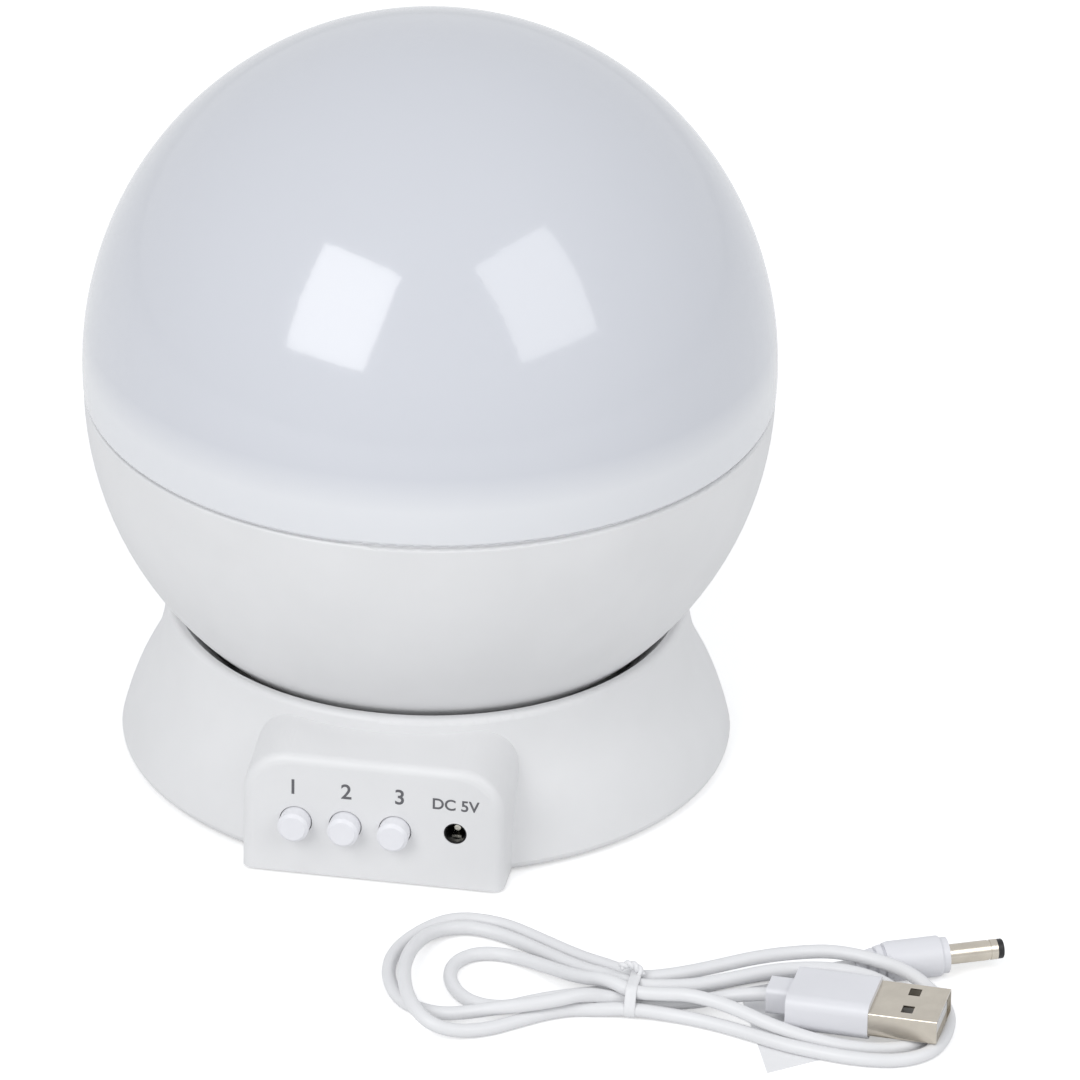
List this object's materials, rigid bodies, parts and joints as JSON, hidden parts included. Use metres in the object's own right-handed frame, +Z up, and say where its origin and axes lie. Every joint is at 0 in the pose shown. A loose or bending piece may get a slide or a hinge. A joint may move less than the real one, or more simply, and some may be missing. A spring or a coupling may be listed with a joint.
{
  "type": "star night light projector",
  "caption": "Globe-shaped star projector night light: milky dome on a turning bowl in a flared base with push buttons and a power socket, and a tied power cable.",
  "frame": {"origin": "on the globe's turning axis at floor level", "axes": "+Z up along the turning axis; the control panel faces -Y; +X to the right seen from the panel"},
  "size_m": [0.1719, 0.1668, 0.1342],
  "materials": {
    "shell_white": "satin moulded plastic",
    "door_white": "satin moulded plastic",
    "milky_dome": "polished translucent plastic",
    "collar_white": "satin",
    "star_film": "satin dark plastic with clear stars",
    "button_white": "satin",
    "foot_rubber": "matte",
    "screw_steel": "zinc plated",
    "inner_white": "matte",
    "nylon": "matte natural nylon",
    "motor_can": "drawn steel",
    "shaft_steel": "ground",
    "board_green": "solder mask",
    "led_warm": "clear moulded lens",
    "led_red": "clear moulded lens",
    "led_green": "clear moulded lens",
    "led_blue": "clear moulded lens",
    "ribbon_grey": "matte",
    "black_plastic": "matte",
    "contact_metal": "nickel plated",
    "cell_jacket": "gloss jacket",
    "cord_white": "satin soft sheath",
    "plug_white": "satin",
    "tie_white": "satin",
    "label_paper": "matte paper",
    "plug_nickel": "nickel plated",
    "tongue_white": "matte"
  },
  "bodies": {
    "base": {"base_shell": "shell_white", "base_plate": "door_white", "rubber_feet": "foot_rubber", "base_screws": "screw_steel", "inner_deck": "inner_white", "deck_screws": "screw_steel", "glide_ring": "nylon", "drive_motor": "motor_can", "motor_screws": "screw_steel", "lamp_post": "inner_white", "post_screws": "screw_steel", "led_board": "board_green", "led_screws": "screw_steel", "led_warm": "led_warm", "led_red": "led_red", "led_green": "led_green", "led_blue": "led_blue", "led_ribbon": "ribbon_grey", "control_board": "board_green", "switch_bodies": "black_plastic", "dc_jack": "black_plastic", "jack_contacts": "contact_metal", "aaa_cells": "cell_jacket", "cell_contacts": "contact_metal", "cell_springs": "contact_metal", "cable_hank": "cord_white", "twist_tie": "tie_white", "cable_label": "label_paper", "usb_relief": "plug_white", "usb_body": "plug_white", "usb_shell": "plug_nickel", "usb_tongue": "tongue_white", "dc_plug_body": "plug_white", "dc_plug_barrel": "plug_nickel", "dc_plug_tip": "black_plastic"},
    "globe": {"rotor_bowl": "shell_white", "ring_gear": "nylon", "gear_screws": "screw_steel", "seat_ring": "collar_white", "star_mask": "star_film"},
    "dome": {"diffuser_dome": "milky_dome"},
    "pinion": {"motor_shaft": "shaft_steel", "drive_pinion": "nylon"},
    "button_a": {"button_1": "button_white", "plunger_1": "black_plastic"},
    "button_b": {"button_2": "button_white", "plunger_2": "black_plastic"},
    "button_c": {"button_3": "button_white", "plunger_3": "black_plastic"},
    "door": {"battery_door": "door_white"}
  },
  "joints": [
    {"name": "globe_spin", "type": "hinge", "parent": "base", "child": "globe", "pos_m": [0, 0, 0.02], "axis": [0, 0, 1], "continuous": true},
    {"name": "pinion_spin", "type": "hinge", "parent": "base", "child": "pinion", "pos_m": [0, 0.0333, 0.018], "axis": [0, 0, 1], "continuous": true},
    {"name": "dome_lift", "type": "slide", "parent": "globe", "child": "dome", "axis": [0, 0, 1], "range_m": [0, 0.07]},
    {"name": "door_slide", "type": "slide", "parent": "base", "child": "door", "axis": [0, 1, 0], "range_m": [0, 0.008]},
    {"name": "button_a_press", "type": "slide", "parent": "base", "child": "button_a", "axis": [0, 1, 0], "range_m": [0, 0.001], "stiffness_N_per_m": 600},
    {"name": "button_b_press", "type": "slide", "parent": "base", "child": "button_b", "axis": [0, 1, 0], "range_m": [0, 0.001], "stiffness_N_per_m": 600},
    {"name": "button_c_press", "type": "slide", "parent": "base", "child": "button_c", "axis": [0, 1, 0], "range_m": [0, 0.001], "stiffness_N_per_m": 600}
  ],
  "couplings": [
    {"joint": "pinion_spin", "follows": "globe_spin", "ratio": -4.2857}
  ]
}
